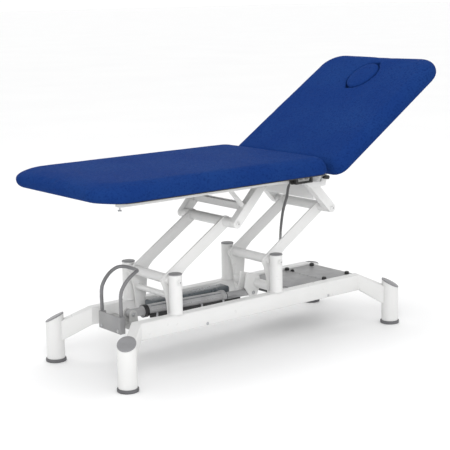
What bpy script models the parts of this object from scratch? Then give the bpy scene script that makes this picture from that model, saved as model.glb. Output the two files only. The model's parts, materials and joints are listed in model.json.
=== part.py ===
"""Height-adjustable medical exam table: two arm frames form a parallelogram that
carries a level top with a seat section and a hinged backrest.

Axes: +X towards the head end, +Y towards the far side, +Z up, floor at Z = 0.
Units: metres.
"""
import bpy
import bmesh
from math import radians, sin, cos, pi
from mathutils import Matrix, Vector

# ---------------------------------------------------------------- driving dimensions
GAP = 0.0003                 # running gap between touching pieces
BASE_X = -0.0418             # centre of the base, from the middle of the whole table

# base: two rails with splayed arms on four round legs
LEG_X, LEG_Y = 0.652, 0.237  # leg centres from the base centre
LEG_R, FOOT_R, FOOT_H = 0.034, 0.0386, 0.012
LEG_TOP = 0.166              # leg height on its own axis
LEG_CUT = radians(27)        # slope of the cut on top, falling outwards
CAP_T = 0.004
RAIL_Y0, RAIL_Y1 = 0.128, 0.170
RAIL_Z0, RAIL_Z1 = 0.1415, 0.2065
RAIL_BEND_X = 0.556          # where the rail turns into its end arms
ARM_END_Z0, ARM_END_Z1 = 0.066, 0.146

# posts that carry the lower pivots
POST_R, POST_Y, POST_TOP = 0.0245, 0.1485, 0.352
POST_X = {"foot": BASE_X - 0.3724, "head": BASE_X + 0.1105}

# parallelogram
PIVOT_Z = 0.327
ARM_LENGTH = 0.3263
ARM_ANGLE = radians(32.9)
SHAFT_R = 0.006
PLATE_Y0, PLATE_Y1 = 0.0986, 0.1056
ARM_HALF_DEPTH = 0.0225
LOWER_TUBE_R = 0.0180
BELL_DROP = 0.140            # from the lower pivot down to the end of the plate
UPPER_DX = ARM_LENGTH * cos(ARM_ANGLE)
UPPER_Z = PIVOT_Z + ARM_LENGTH * sin(ARM_ANGLE)

# top frame, in one level plane
FRAME_Y0, FRAME_Y1 = 0.1446, 0.1746
FRAME_Z0, FRAME_Z1 = 0.6400, 0.6664
SEAT_RAIL_Y1 = 0.1756        # the seat rails are wider, to carry the hinge lugs
SEAT_RAIL_Z0 = 0.6290        # and deeper than the rest of the frame
FRAME_X0, FRAME_X1 = BASE_X - 0.620, BASE_X + 0.250
BRACKET_HALF = 0.018
BRACKET_RUN = 0.1195         # how far a bracket leans along X between pivot and frame

# upholstery
WIDTH = 0.650
BOARD_INSET, BOARD_T = 0.015, 0.012
SEAT_X0, SEAT_X1 = BASE_X - 0.800, BASE_X + 0.259
SEAT_T = 0.064
BACK_T = 0.068
EDGE_R = 0.025

# backrest hinge
HINGE_X, HINGE_Z = BASE_X + 0.337, 0.655
RECLINE = radians(33)
BACK_X0, BACK_X1 = -0.039, 0.671     # backrest ends, along it, from the hinge
HINGE_LUG_Y = (0.1749, 0.1829)
QUADRANT_R = 0.054
GAS_LEVER = 0.048

# head end of the base: a member, its cover on top, and a tongue on each between the arms
HEAD_BAR_Z = (0.1835, 0.1955)
COVER_Z = (0.1958, 0.2000)
TONGUE_X, TONGUE_Y = (BASE_X + 0.192, BASE_X + 0.215), (-0.090, 0.090)

# actuator
ACT_REAR = (BASE_X - 0.472, 0.196)   # x, z of the rear pin
LUG_PIN = (POST_X["head"] - 0.010, PIVOT_Z - 0.146)
MOTOR_RUN = (0.120, 0.495)           # from the rear pin; ends short of the lever's sweep

SIDES = {"near": -1, "far": 1}
ENDS = {"foot": -1, "head": 1}


# ---------------------------------------------------------------- scene and materials
for old in list(bpy.data.objects):
    bpy.data.objects.remove(old, do_unlink=True)

TABLE = bpy.data.collections.new("exam_table")
bpy.context.scene.collection.children.link(TABLE)


def material(name, colour, roughness, metallic=0.0):
    mat = bpy.data.materials.new(name)
    mat.use_nodes = True
    shader = mat.node_tree.nodes["Principled BSDF"]
    shader.inputs["Base Color"].default_value = (*colour, 1.0)
    shader.inputs["Roughness"].default_value = roughness
    shader.inputs["Metallic"].default_value = metallic
    mat.diffuse_color = (*colour, 1.0)
    return mat


WHITE = material("white_paint", (0.83, 0.83, 0.82), 0.35)
CAP_GREY = material("cap_grey", (0.24, 0.24, 0.25), 0.55)
RUBBER = material("rubber_grey", (0.10, 0.10, 0.105), 0.8)
BLACK = material("black_plastic", (0.012, 0.012, 0.013), 0.45)
DARK = material("actuator_grey", (0.06, 0.06, 0.065), 0.4, 0.3)
PLATE = material("plate_grey", (0.30, 0.30, 0.31), 0.5)
STEEL = material("zinc_steel", (0.55, 0.55, 0.56), 0.3, 1.0)
WOOD = material("board_black", (0.05, 0.045, 0.04), 0.8)
VINYL = material("blue_vinyl", (0.022, 0.058, 0.225), 0.5)
HANDSET = material("handset_grey", (0.50, 0.50, 0.49), 0.5)


# ---------------------------------------------------------------- modelling helpers
def link(obj):
    TABLE.objects.link(obj)
    return obj


def from_bmesh(name, bm):
    bmesh.ops.recalc_face_normals(bm, faces=bm.faces)
    mesh = bpy.data.meshes.new(name)
    bm.to_mesh(mesh)
    bm.free()
    return link(bpy.data.objects.new(name, mesh))


def box(name, x, y, z, bevel=0.0, segments=2):
    """A box between the given pairs, its edges rounded by bevel."""
    bm = bmesh.new()
    bmesh.ops.create_cube(bm, size=1.0)
    size = Vector((x[1] - x[0], y[1] - y[0], z[1] - z[0]))
    centre = Vector((x[0] + x[1], y[0] + y[1], z[0] + z[1])) / 2
    bmesh.ops.scale(bm, vec=size, verts=bm.verts)
    bmesh.ops.translate(bm, vec=centre, verts=bm.verts)
    if bevel:
        bmesh.ops.bevel(bm, geom=bm.edges[:], offset=bevel, segments=segments, profile=0.5,
                        affect="EDGES")
    return from_bmesh(name, bm)


def cylinder(name, start, end, radius, sides=24):
    """A solid cylinder from one point to another."""
    start, end = Vector(start), Vector(end)
    bm = bmesh.new()
    bmesh.ops.create_cone(bm, cap_ends=True, segments=sides, radius1=radius, radius2=radius,
                          depth=(end - start).length)
    turn = (end - start).to_track_quat("Z", "Y").to_matrix().to_4x4()
    bmesh.ops.transform(bm, matrix=Matrix.Translation((start + end) / 2) @ turn, verts=bm.verts)
    return from_bmesh(name, bm)


def arc(centre, radius, first, last, steps):
    """Points on an arc in XZ, angles in degrees from +X towards +Z."""
    angles = [radians(first + (last - first) * i / steps) for i in range(steps + 1)]
    return [(centre[0] + radius * cos(a), centre[1] + radius * sin(a)) for a in angles]


def bake(obj):
    """Put the evaluated modifiers into the object's own mesh."""
    graph = bpy.context.evaluated_depsgraph_get()
    mesh = bpy.data.meshes.new_from_object(obj.evaluated_get(graph))
    obj.modifiers.clear()
    obj.data = mesh
    return obj


def profile(name, outline, y0, y1):
    """A plate with the given XZ outline, between two Y planes."""
    curve = bpy.data.curves.new(name, "CURVE")
    curve.dimensions = "2D"
    curve.fill_mode = "BOTH"
    curve.extrude = (y1 - y0) / 2
    spline = curve.splines.new("POLY")
    spline.points.add(len(outline) - 1)
    for point, (x, z) in zip(spline.points, outline):
        point.co = (x, z, 0.0, 1.0)
    spline.use_cyclic_u = True
    flat = link(bpy.data.objects.new(name + "_outline", curve))
    graph = bpy.context.evaluated_depsgraph_get()
    mesh = bpy.data.meshes.new_from_object(flat.evaluated_get(graph))
    bpy.data.objects.remove(flat)
    stand = Matrix.Translation((0, (y0 + y1) / 2, 0)) @ Matrix.Rotation(pi / 2, 4, "X")
    bm = bmesh.new()
    bm.from_mesh(mesh)
    bmesh.ops.remove_doubles(bm, verts=bm.verts, dist=1e-6)
    bmesh.ops.transform(bm, matrix=stand, verts=bm.verts)
    return from_bmesh(name, bm)


def combine(target, others, operation):
    for other in others:
        step = target.modifiers.new(operation.lower(), "BOOLEAN")
        step.operation = operation
        step.solver = "EXACT"
        step.object = other
        bake(target)
        bpy.data.objects.remove(other)
    return target


def cut(target, *cutters):
    return combine(target, cutters, "DIFFERENCE")


def join(target, *others):
    return combine(target, others, "UNION")


def bore(target, x, z, radius=SHAFT_R + GAP, reach=0.4):
    """A round hole along Y."""
    return cut(target, cylinder("bore", (x, -reach, z), (x, reach, z), radius))


def finish(obj, mat, parent=None):
    """Material, smooth shading, and the joint that the piece turns on."""
    obj.data.materials.clear()
    obj.data.materials.append(mat)
    if obj.type == "MESH":
        obj.data.shade_smooth()
        obj.data.set_sharp_from_angle(angle=radians(35))
    if parent:
        obj.parent = parent
        obj.matrix_parent_inverse = parent.matrix_world.inverted()
    return obj


def axis_empty(name, location, parent=None):
    """An empty on a joint's axis, which the joint's pieces hang on."""
    empty = link(bpy.data.objects.new(name, None))
    empty.location = location
    if parent:
        empty.parent = parent
        empty.location = Vector(location) - parent.matrix_world.translation
    bpy.context.view_layer.update()
    return empty


def turn_about(obj, x, z, angle):
    """Raise a piece by an angle about a line along Y through (x, z)."""
    matrix = (Matrix.Translation((x, 0, z)) @ Matrix.Rotation(-angle, 4, "Y")
              @ Matrix.Translation((-x, 0, -z)))
    obj.data.transform(matrix)
    return obj


def rounded_slab(name, x, y, z, corner, edge, corner_steps=5, edge_steps=3):
    """An upholstered pad: wide corner radii in plan, soft edges top and bottom."""
    bm = bmesh.new()
    bmesh.ops.create_cube(bm, size=1.0)
    size = Vector((x[1] - x[0], y[1] - y[0], z[1] - z[0]))
    centre = Vector((x[0] + x[1], y[0] + y[1], z[0] + z[1])) / 2
    bmesh.ops.scale(bm, vec=size, verts=bm.verts)
    bmesh.ops.translate(bm, vec=centre, verts=bm.verts)
    upright = [e for e in bm.edges if abs((e.verts[0].co - e.verts[1].co).z) > size.z / 2]
    for sign, radius in corner.items():
        chosen = [e for e in upright if e.is_valid and (e.verts[0].co.x > centre.x) == (sign > 0)]
        bmesh.ops.bevel(bm, geom=chosen, offset=radius, segments=corner_steps, profile=0.5,
                        affect="EDGES")
    rims = [e for e in bm.edges if abs((e.verts[0].co - e.verts[1].co).z) < 1e-6
            and (abs(e.verts[0].co.z - z[0]) < 1e-6 or abs(e.verts[0].co.z - z[1]) < 1e-6)]
    bmesh.ops.bevel(bm, geom=rims, offset=edge, segments=edge_steps, profile=0.5,
                    affect="EDGES")
    return from_bmesh(name, bm)


# ---------------------------------------------------------------- base
def rail(side, sign):
    """A straight tube whose ends turn outwards and down to the legs."""
    stations = []
    for end in (-1, 1):
        leg = Vector((BASE_X + end * LEG_X, sign * LEG_Y))
        bend = Vector((BASE_X + end * RAIL_BEND_X, sign * (RAIL_Y0 + RAIL_Y1) / 2))
        along = (leg - bend).normalized()
        across = Vector((-along.y, along.x)) * (RAIL_Y1 - RAIL_Y0) / 2
        if (across.y > 0) != (sign > 0):
            across = -across
        stations.append([(leg - across, leg + across), (ARM_END_Z0, ARM_END_Z1)])
        inner = Vector((BASE_X + end * RAIL_BEND_X, sign * RAIL_Y0))
        outer = Vector((BASE_X + end * (RAIL_BEND_X - 0.014), sign * RAIL_Y1))
        stations.append([(inner, outer), (RAIL_Z0, RAIL_Z1)])
    order = [stations[0], stations[1], stations[3], stations[2]]
    bm = bmesh.new()
    rings = []
    for (inner, outer), (low, high) in order:
        corners = [(inner, low), (outer, low), (outer, high), (inner, high)]
        rings.append([bm.verts.new((p.x, p.y, h)) for p, h in corners])
    for a, b in zip(rings, rings[1:]):
        for i in range(4):
            j = (i + 1) % 4
            bm.faces.new((a[i], a[j], b[j], b[i]))
    bm.faces.new(rings[0])
    bm.faces.new(rings[-1])
    bmesh.ops.recalc_face_normals(bm, faces=bm.faces)
    long_edges = [e for e in bm.edges if (e.verts[0].co - e.verts[1].co).length > 0.085]
    bmesh.ops.bevel(bm, geom=long_edges, offset=0.005, segments=2, profile=0.5, affect="EDGES")
    for v in bm.verts:
        v.co.z = min(v.co.z, RAIL_Z1)
    piece = from_bmesh("base_rail_" + side, bm)
    for end in (-1, 1):
        x, y = BASE_X + end * LEG_X, sign * LEG_Y
        cut(piece, cylinder("leg_space", (x, y, 0), (x, y, 0.3), LEG_R + GAP))
    return finish(piece, WHITE)


def leg(side, sign, end_name, end):
    """A round leg with a sloping top, its cap, and its rubber foot."""
    x, y = BASE_X + end * LEG_X, sign * LEG_Y
    name = side + "_" + end_name
    outwards = Vector((end, sign, 0)).normalized()
    normal = (outwards * sin(LEG_CUT) + Vector((0, 0, cos(LEG_CUT)))).normalized()
    for label, low, high, mat in (("leg_", None, 0.0, WHITE), ("leg_cap_", GAP, CAP_T, CAP_GREY)):
        bm = bmesh.new()
        bmesh.ops.create_cone(bm, cap_ends=True, segments=28, radius1=LEG_R, radius2=LEG_R,
                              depth=0.3)
        bmesh.ops.translate(bm, vec=(x, y, 0.15 + FOOT_H + GAP), verts=bm.verts)
        for offset, upper in ((high, True), (low, False)):
            if offset is None:
                continue
            point = Vector((x, y, LEG_TOP)) + normal * offset
            result = bmesh.ops.bisect_plane(
                bm, geom=bm.verts[:] + bm.edges[:] + bm.faces[:], plane_co=point,
                plane_no=normal, clear_outer=upper, clear_inner=not upper)
            rim = [g for g in result["geom_cut"] if isinstance(g, bmesh.types.BMEdge)]
            bmesh.ops.edgeloop_fill(bm, edges=rim)
        finish(from_bmesh(label + name, bm), mat)
    foot = cylinder("foot_pad_" + name, (x, y, 0), (x, y, FOOT_H), FOOT_R, 28)
    edge = foot.modifiers.new("rounded", "BEVEL")
    edge.width = 0.003
    edge.segments = 2
    edge.limit_method = "ANGLE"
    finish(foot, RUBBER)


def post(side, sign, end_name):
    """A round post on the rail, with its cap, bored for the lower shaft."""
    x, y = POST_X[end_name], sign * POST_Y
    name = side + "_" + end_name
    tube = cylinder("post_" + name, (x, y, RAIL_Z1 + GAP), (x, y, POST_TOP), POST_R, 28)
    finish(bore(tube, x, PIVOT_Z, SHAFT_R + GAP, 0.3), WHITE)
    finish(cylinder("post_cap_" + name, (x, y, POST_TOP + GAP), (x, y, POST_TOP + GAP + CAP_T),
                    POST_R + 0.0008, 28), CAP_GREY)


def cross_tubes():
    """Two members between the rails; the foot one carries the actuator's rear bracket."""
    reach = RAIL_Y0 - GAP
    foot = box("base_cross_foot", (BASE_X - 0.500, BASE_X - 0.450), (-reach, reach),
               (0.1445, 0.1695), 0.004)
    for sign in (-1, 1):
        y = sorted((sign * 0.0155, sign * 0.0225))
        lug = profile("rear_lug", [(ACT_REAR[0] - 0.020, 0.166), (ACT_REAR[0] + 0.020, 0.166),
                                   *arc(ACT_REAR, 0.016, 0, 180, 8)], *y)
        join(foot, lug)
    bore(foot, *ACT_REAR)
    finish(foot, PLATE)
    head = box("base_cross_head", (BASE_X + 0.208, BASE_X + 0.224), (-reach, reach), HEAD_BAR_Z, 0.001)
    finish(join(head, box("tongue", TONGUE_X, TONGUE_Y, HEAD_BAR_Z)), WHITE)


def foot_end():
    """The open-backed foot bracket between the rails, and its bent guard bar."""
    x0, x1 = BASE_X - 0.565, BASE_X - 0.541
    housing = box("foot_housing", (x0, x1), (-0.070, 0.070), (0.147, 0.211), 0.003)
    hollow = box("hollow", (x0 + 0.004, x1 + 0.010), (-0.054, 0.054), (0.1510, 0.25))
    finish(cut(housing, hollow), PLATE)
    lean, top, reach = 0.088, 0.365, 0.062
    x = x0 + 0.012
    route = [Vector((x, reach, 0.2113)), Vector((x, reach, 0.285)),
             Vector((x + 0.012, reach, 0.318)), Vector((x + 0.038, reach, 0.346)),
             Vector((x + 0.068, reach - 0.004, top - 0.003)),
             Vector((x + lean, reach - 0.020, top)), Vector((x + lean + 0.002, 0, top + 0.001))]
    route += [Vector((p.x, -p.y, p.z)) for p in reversed(route[:-1])]
    guard = tube_curve("foot_guard_bar", route, 0.007, 3)
    finish(guard, CAP_GREY)


def smooth_route(points, steps):
    """Catmull-Rom points through the given ones."""
    ends = [points[0] * 2 - points[1], *points, points[-1] * 2 - points[-2]]
    route = []
    for a, b, c, d in zip(ends, ends[1:], ends[2:], ends[3:]):
        for i in range(steps):
            t = i / steps
            route.append(0.5 * ((2 * b) + (c - a) * t + (2 * a - 5 * b + 4 * c - d) * t * t
                                + (3 * b - a - 3 * c + d) * t ** 3))
    return route + [points[-1].copy()]


def tube_curve(name, points, radius, steps):
    """A round bar or cord along a smooth route."""
    route = smooth_route([Vector(p) for p in points], steps)
    curve = bpy.data.curves.new(name, "CURVE")
    curve.dimensions = "3D"
    curve.bevel_depth = radius
    curve.bevel_resolution = 2
    curve.use_fill_caps = True
    spline = curve.splines.new("POLY")
    spline.points.add(len(route) - 1)
    for point, co in zip(spline.points, route):
        point.co = (*co, 1.0)
    return link(bpy.data.objects.new(name, curve))


def lower_shafts():
    for end_name, x in POST_X.items():
        finish(cylinder("lower_shaft_" + end_name, (x, -0.180, PIVOT_Z), (x, 0.180, PIVOT_Z),
                        SHAFT_R, 16), STEEL)


def control_box():
    """Dark electronics box under a grey cover with four rubber buffers."""
    x0, x1 = BASE_X + 0.2245, BASE_X + 0.545
    finish(box("control_box", (x0, x1), (-0.105, 0.105), (0.146, 0.1955), 0.006), DARK)
    reach = RAIL_Y0 - GAP
    cover = box("head_cover_plate", (BASE_X + 0.208, BASE_X + 0.560), (-reach, reach), COVER_Z,
                0.001)
    finish(join(cover, box("tongue", TONGUE_X, TONGUE_Y, COVER_Z)), PLATE)
    for i, (dx, y) in enumerate(((0.400, -0.112), (0.400, 0.112), (0.535, -0.105), (0.535, 0.105))):
        finish(cylinder(f"buffer_{i + 1}", (BASE_X + dx, y, 0.2003), (BASE_X + dx, y, 0.2120),
                        0.0095, 16), BLACK)


# ---------------------------------------------------------------- actuator
def actuator():
    """Outer tube with rear eye, motor beside it, and the rod that pushes the lever."""
    rear, front = Vector((ACT_REAR[0], 0, ACT_REAR[1])), Vector((LUG_PIN[0], 0, LUG_PIN[1]))
    along = (front - rear).normalized()
    body = cylinder("actuator_tube", rear + along * 0.052, rear + along * 0.440, 0.0220, 24)
    join(body, cylinder("collar", rear + along * 0.420, rear + along * 0.434, 0.0255, 24))
    eye = profile("eye", [*arc(ACT_REAR, 0.013, 90, 270, 8), (ACT_REAR[0] + 0.056, 0.183),
                          (ACT_REAR[0] + 0.056, 0.209)], -0.012, 0.012)
    join(body, eye)
    join(body, cylinder("trunnion", (rear.x, -0.026, rear.z), (rear.x, 0.026, rear.z), SHAFT_R, 16))
    cut(body, cylinder("rod_space", rear + along * 0.075, rear + along * 0.5, 0.0143, 20))
    finish(body, DARK)
    motor_x = [rear.x + reach for reach in MOTOR_RUN]
    finish(box("actuator_motor", motor_x, (0.0262, 0.0840), (0.1560, 0.2140), 0.010), BLACK)
    slider = axis_empty("actuator_slide", front)
    rod = cylinder("actuator_rod", front - along * 0.310, front - along * 0.012, 0.0140, 20)
    end = cylinder("rod_end", (front.x, -0.0138, front.z), (front.x, 0.0138, front.z), 0.0175, 20)
    finish(join(rod, end), DARK, slider)


# ---------------------------------------------------------------- arm frames
def arm_outline(x):
    """Boomerang plate: a straight arm up to the upper pivot, a tapered leg below."""
    u, n = Vector((cos(ARM_ANGLE), sin(ARM_ANGLE))), Vector((-sin(ARM_ANGLE), cos(ARM_ANGLE)))
    pivot = Vector((x, PIVOT_Z))
    tip = pivot + u * ARM_LENGTH
    deg = ARM_ANGLE * 180 / pi
    foot = (x + 0.0145, PIVOT_Z - BELL_DROP)
    outline = arc(tip, ARM_HALF_DEPTH, deg + 90, deg - 90, 10)
    outline += [pivot + u * 0.085 - n * ARM_HALF_DEPTH, pivot + Vector((0.058, 0.004)),
                pivot + Vector((0.050, -0.036)), pivot + Vector((0.045, -0.088)),
                *arc(foot, 0.0175, 0, -180, 8), pivot + Vector((-0.007, -0.090)),
                pivot + Vector((-0.012, -0.062)), pivot + Vector((-0.020, -0.030)),
                pivot + Vector((-0.034, 0.000)), pivot - u * 0.014 + n * ARM_HALF_DEPTH]
    return outline


def arm_frame(end_name):
    """Two plates joined by the pivot tubes and a rod: one welded piece."""
    x = POST_X[end_name]
    hinge = axis_empty("arms_axis_" + end_name, (x, 0, PIVOT_Z))
    frame = profile("arm_frame_" + end_name, arm_outline(x), -PLATE_Y1, -PLATE_Y0)
    other = profile("plate", arm_outline(x), PLATE_Y0, PLATE_Y1)
    lower = cylinder("lower", (x, -0.1232, PIVOT_Z), (x, 0.1232, PIVOT_Z), LOWER_TUBE_R, 20)
    upper_x = x + UPPER_DX
    upper = cylinder("upper", (upper_x, -0.1440, UPPER_Z), (upper_x, 0.1440, UPPER_Z), 0.0190, 20)
    low_r = 0.0110 if end_name == "foot" else 0.0180
    low_z = PIVOT_Z - (0.065 if end_name == "foot" else 0.110)
    rod = cylinder("low", (x + 0.010, -0.102, low_z), (x + 0.010, 0.102, low_z), low_r, 16)
    join(frame, other, lower, upper, rod)
    if end_name == "head":
        for sign in (-1, 1):
            y = sorted((sign * 0.0148, sign * 0.0228))
            join(frame, profile("lug", lug_outline(), *y))
    bore(frame, x, PIVOT_Z)
    bore(frame, upper_x, UPPER_Z)
    finish(frame, WHITE, hinge)
    return hinge


def lug_outline():
    """The lever plate that the actuator pushes: from its tube down round the pin."""
    x = POST_X["head"]
    return [(x + 0.022, PIVOT_Z - 0.080), (x - 0.040, PIVOT_Z - 0.062),
            (x - 0.052, PIVOT_Z - 0.120), *arc(LUG_PIN, 0.021, 200, 320, 6),
            (x + 0.030, PIVOT_Z - 0.118)]


# ---------------------------------------------------------------- top frame
def hinge_lug_outline():
    """A cranked plate: from the rail's end down, under the sweep of the pad, up to the hinge."""
    boss = 0.0105
    below = [(0.337 + boss, 0.625), (0.340, 0.600), (0.262, 0.598), (0.232, 0.620), (0.215, 0.640)]
    above = [(0.215, 0.664), (0.248, 0.664), (0.250, 0.640), (0.262, 0.622), (0.318, 0.619),
             (0.337 - boss, 0.640)]
    return ([(BASE_X + x, z) for x, z in above] + arc((HINGE_X, HINGE_Z), boss, 180, 0, 10)
            + [(BASE_X + x, z) for x, z in below])


def seat_frame(top):
    """Two rails with hinge lugs, and three cross members, bored for the recline shaft."""
    members = []
    for sign in (-1, 1):
        y = sorted((sign * FRAME_Y0, sign * SEAT_RAIL_Y1))
        members.append(box("rail", (FRAME_X0, FRAME_X1), y, (SEAT_RAIL_Z0, FRAME_Z1), 0.003, 1))
        members.append(profile("hinge_lug", hinge_lug_outline(), *sorted(sign * e for e in HINGE_LUG_Y)))
    for x in (-0.600, -0.050, 0.215):
        members.append(box("cross", (BASE_X + x, BASE_X + x + 0.028), (-0.150, 0.150),
                           (FRAME_Z0 + 0.0015, FRAME_Z1 - 0.0015)))
    frame = members[0]
    frame.name = "seat_frame"
    join(frame, *members[1:])
    lug_x, lug_z = BASE_X - 0.036, HINGE_Z - GAS_LEVER
    for sign in (-1, 1):
        y = sorted((sign * 0.0085, sign * 0.0135))
        join(frame, profile("gas_lug", [(lug_x + 0.012, FRAME_Z0 + 0.004),
                                        (lug_x - 0.012, FRAME_Z0 + 0.004),
                                        *arc((lug_x, lug_z), 0.010, 180, 360, 6)], *y))
    bore(frame, HINGE_X, HINGE_Z)
    finish(frame, WHITE, top)
    return lug_x, lug_z


def bracket_frame(end_name, top):
    """A pair of leaning brackets from the frame down to the upper shaft."""
    lean = -1 if end_name == "foot" else 1
    x = POST_X[end_name] + UPPER_DX
    pivot = Vector((x, UPPER_Z))
    high = SEAT_RAIL_Z0 - GAP
    slope = Vector((-lean * BRACKET_RUN, high - UPPER_Z)).normalized()
    half = BRACKET_HALF / slope.y
    side = Vector((slope.y, -slope.x)) * BRACKET_HALF
    base_angle = Vector((-side.x, -side.y))
    first = degrees_of(base_angle)
    head = pivot + Vector((-lean * BRACKET_RUN, high - UPPER_Z))
    outline = [head + Vector((half, 0)), head - Vector((half, 0)),
               *arc(pivot, BRACKET_HALF, first, first + 180, 10)]
    if end_name == "head":
        outline[:1] = [head + Vector((half, 0)) - slope * 0.020, head + Vector((0.004, 0))]
    frame = profile("bracket_frame_" + end_name, outline, -FRAME_Y1, -FRAME_Y0)
    others = [profile("bracket", outline, FRAME_Y0, FRAME_Y1)]
    if end_name == "foot":
        middle = pivot + slope * 0.078
        others.append(box("cross", (middle.x - 0.0125, middle.x + 0.0125), (-0.150, 0.150),
                          (middle.y - 0.0135, middle.y + 0.0135)))
        strut = [(x - 0.028, high), (x - 0.012, high), (x + 0.052, UPPER_Z + 0.056),
                 (x + 0.040, UPPER_Z + 0.047)]
        for sign in (-1, 1):
            y = sorted((sign * (FRAME_Y0 + 0.008), sign * (FRAME_Y1 - 0.008)))
            others.append(profile("strut", strut, *y))
    else:
        others.append(box("cross", (x - 0.0785, x - 0.0535), (-0.150, 0.150),
                          (UPPER_Z + 0.041, UPPER_Z + 0.0880)))
    join(frame, *others)
    bore(frame, x, UPPER_Z)
    finish(frame, WHITE, top)
    finish(cylinder("upper_shaft_" + end_name, (x, -0.181, UPPER_Z), (x, 0.181, UPPER_Z),
                    SHAFT_R, 16), STEEL, top)


def degrees_of(vector):
    return Vector((1, 0)).angle_signed(vector) * -180 / pi


def board_and_pad(prefix, x, bottom, thickness, corner, parent, hole=None, tilt=None):
    """A plywood board let into the underside of an upholstered pad."""
    half = WIDTH / 2
    inner = {sign: max(radius - BOARD_INSET, 0.01) for sign, radius in corner.items()}
    board_box = ((x[0] + BOARD_INSET, x[1] - BOARD_INSET),
                 (-half + BOARD_INSET, half - BOARD_INSET), (bottom, bottom + BOARD_T))
    board = rounded_slab(prefix + "_board", *board_box, inner, 0.001, 4, 1)
    pad = rounded_slab(prefix + "_cushion", x, (-half, half), (bottom + GAP, bottom + thickness),
                       corner, EDGE_R)
    pocket = rounded_slab("pocket", (board_box[0][0] - GAP, board_box[0][1] + GAP),
                          (board_box[1][0] - GAP, board_box[1][1] + GAP),
                          (bottom - 0.01, bottom + BOARD_T + GAP),
                          {s: r + GAP for s, r in inner.items()}, 0.0002, 4, 1)
    cut(pad, pocket)
    for piece in (board, pad):
        if hole:
            cut(piece, hole())
        if tilt:
            turn_about(piece, *tilt)
    finish(board, WOOD, parent)
    finish(pad, VINYL, parent)


# ---------------------------------------------------------------- backrest
HOLE_X, HOLE_A, HOLE_B = 0.514, 0.085, 0.064    # face hole, along and across


def oval(name, low, high, grow=0.0, sides=32):
    """An upright oval solid at the face hole."""
    bm = bmesh.new()
    bmesh.ops.create_cone(bm, cap_ends=True, segments=sides, radius1=1, radius2=1,
                          depth=high - low)
    bmesh.ops.scale(bm, vec=(HOLE_A + grow, HOLE_B + grow, 1), verts=bm.verts)
    bmesh.ops.translate(bm, vec=(HINGE_X + HOLE_X, 0, (low + high) / 2), verts=bm.verts)
    return from_bmesh(name, bm)


def backrest(top):
    hinge = axis_empty("recline_axis", (HINGE_X, 0, HINGE_Z), top)
    tilt = (HINGE_X, HINGE_Z, RECLINE)
    members = []
    for sign in (-1, 1):
        y = sorted((sign * FRAME_Y0, sign * FRAME_Y1))
        members.append(box("rail", (HINGE_X + 0.046, HINGE_X + 0.600), y,
                           (FRAME_Z0, FRAME_Z1), 0.003, 1))
    for x in (0.046, 0.300, 0.572):
        members.append(box("cross", (HINGE_X + x, HINGE_X + x + 0.026), (-0.150, 0.150),
                           (FRAME_Z0 + 0.0015, FRAME_Z1 - 0.0015)))
    frame = members[0]
    frame.name = "backrest_frame"
    join(frame, *members[1:])
    flat = FRAME_Z1 - 0.0030 - HINGE_Z
    start = Vector((1, 0)).angle_signed(Vector((1, flat / QUADRANT_R))) * -180 / pi
    disc = arc((HINGE_X, HINGE_Z), QUADRANT_R, start, -180 - start, 20)
    for sign in (-1, 1):
        y = sorted((sign * (FRAME_Y0 - 0.0093), sign * (FRAME_Y0 - GAP)))
        join(frame, profile("quadrant", disc, *y))
    lever = (HINGE_X + GAS_LEVER * cos(-pi / 2 - RECLINE), HINGE_Z + GAS_LEVER * sin(-pi / 2 - RECLINE))
    bar_x, bar_z = HINGE_X - 0.006, HINGE_Z - 0.020
    join(frame, cylinder("lever_bar", (bar_x, -0.140, bar_z), (bar_x, 0.140, bar_z), 0.008, 14))
    for sign in (-1, 1):
        y = sorted((sign * 0.0085, sign * 0.0135))
        join(frame, profile("lever", [(bar_x + 0.009, bar_z + 0.004), (bar_x - 0.009, bar_z + 0.006),
                                      *arc(lever, 0.010, 160, 380, 8)], *y))
    bore(frame, HINGE_X, HINGE_Z)
    turn_about(frame, *tilt)
    finish(frame, WHITE, hinge)
    finish(cylinder("recline_shaft", (HINGE_X, -0.1870, HINGE_Z), (HINGE_X, 0.1870, HINGE_Z),
                    SHAFT_R, 16), STEEL, top)
    bottom = FRAME_Z1 + GAP
    board_and_pad("backrest", (HINGE_X + BACK_X0, HINGE_X + BACK_X1), bottom, BACK_T,
                  {-1: 0.055, 1: 0.085}, hinge,
                  hole=lambda: oval("face_hole", bottom - 0.02, bottom + 0.1), tilt=tilt)
    lift = axis_empty("plug_axis", (HINGE_X, 0, HINGE_Z), hinge)
    plug = oval("face_plug", bottom + BOARD_T - 0.008, bottom + BACK_T - 0.0015, -0.0010)
    finish(turn_about(plug, *tilt), VINYL, lift)


def gas_spring(top, lug_x, lug_z):
    """Lockable gas spring between the seat frame and the backrest's short lever."""
    body = cylinder("gas_spring_body", (lug_x + 0.018, 0, lug_z), (lug_x + 0.235, 0, lug_z), 0.0110)
    join(body, cylinder("eye", (lug_x, -0.0080, lug_z), (lug_x, 0.0080, lug_z), 0.0085, 16),
         box("neck", (lug_x + 0.004, lug_x + 0.030), (-0.005, 0.005), (lug_z - 0.005, lug_z + 0.005)))
    cut(body, cylinder("rod_space", (lug_x + 0.040, 0, lug_z), (lug_x + 0.3, 0, lug_z), 0.0053, 14))
    finish(body, BLACK, top)
    slide = axis_empty("gas_slide", (HINGE_X, 0, lug_z), top)
    rod = cylinder("gas_spring_rod", (lug_x + 0.110, 0, lug_z), (HINGE_X - 0.004, 0, lug_z), 0.0050, 14)
    join(rod, cylinder("eye", (HINGE_X, -0.0080, lug_z), (HINGE_X, 0.0080, lug_z), 0.0085, 16))
    finish(rod, STEEL, slide)


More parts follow.
